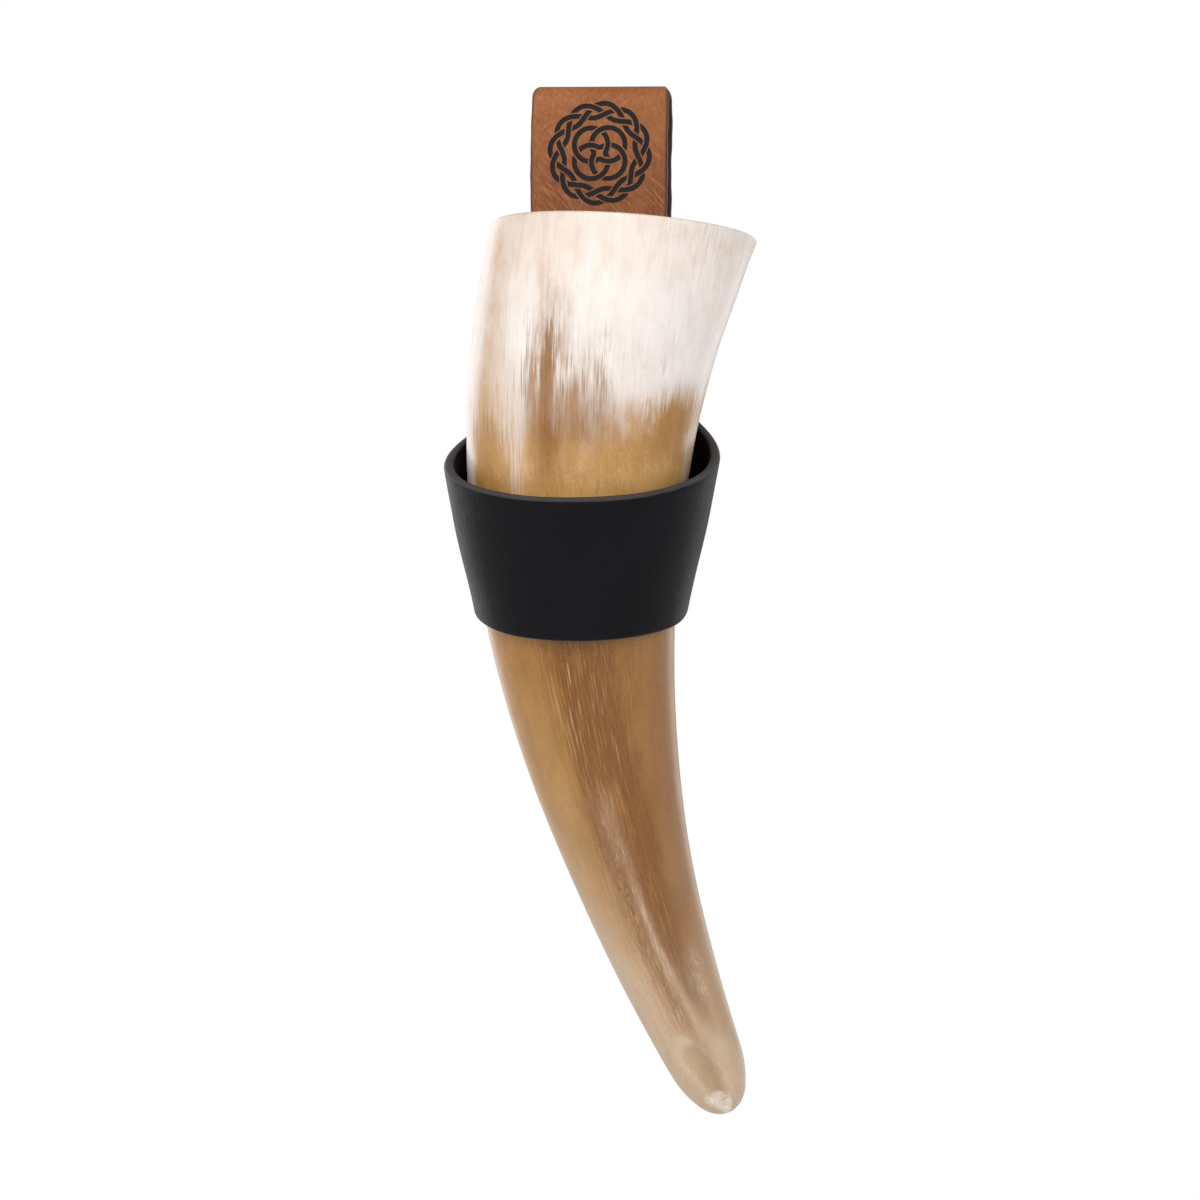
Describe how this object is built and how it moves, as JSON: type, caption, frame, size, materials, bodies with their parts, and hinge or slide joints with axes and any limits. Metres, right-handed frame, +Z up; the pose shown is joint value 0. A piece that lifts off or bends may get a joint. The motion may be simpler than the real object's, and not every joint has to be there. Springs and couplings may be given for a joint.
{
  "type": "drinking horn",
  "caption": "Curved hollow drinking horn standing in a conical leather collar that is riveted to a folded strap with a belt loop; the horn lifts out of the collar along its bend.",
  "frame": {"origin": "inside the top of the belt loop's fold, at the middle of the strap's width", "axes": "+Z up, +X to the right of someone facing the horn, +Y away from them, towards the wearer"},
  "size_m": [0.0915, 0.0944, 0.2981],
  "materials": {
    "horn": "polished natural horn, white at the mouth to golden brown, lengthwise grain",
    "black_leather": "smooth satin black leather with burnished edges",
    "tan_leather": "tan leather, lightly scratched, dark edges, black knotwork ornament",
    "rivet_cap": "domed nickel-plated rivet cap",
    "rivet_post": "domed nickel-plated rivet head and post"
  },
  "bodies": {
    "holder": {"collar": "black_leather", "belt_strap": "tan_leather", "rivet_cap_1": "rivet_cap", "rivet_cap_2": "rivet_cap", "rivet_cap_3": "rivet_cap", "rivet_cap_4": "rivet_cap", "rivet_post_1": "rivet_post", "rivet_post_2": "rivet_post", "rivet_post_3": "rivet_post", "rivet_post_4": "rivet_post"},
    "horn": {"horn": "horn"}
  },
  "joints": [
    {"name": "horn_lift", "type": "hinge", "parent": "holder", "child": "horn", "pos_m": [0.29518, -0.03939, -0.13243], "axis": [0, 0.9903, 0.1392], "range_deg": [0, 44]}
  ]
}
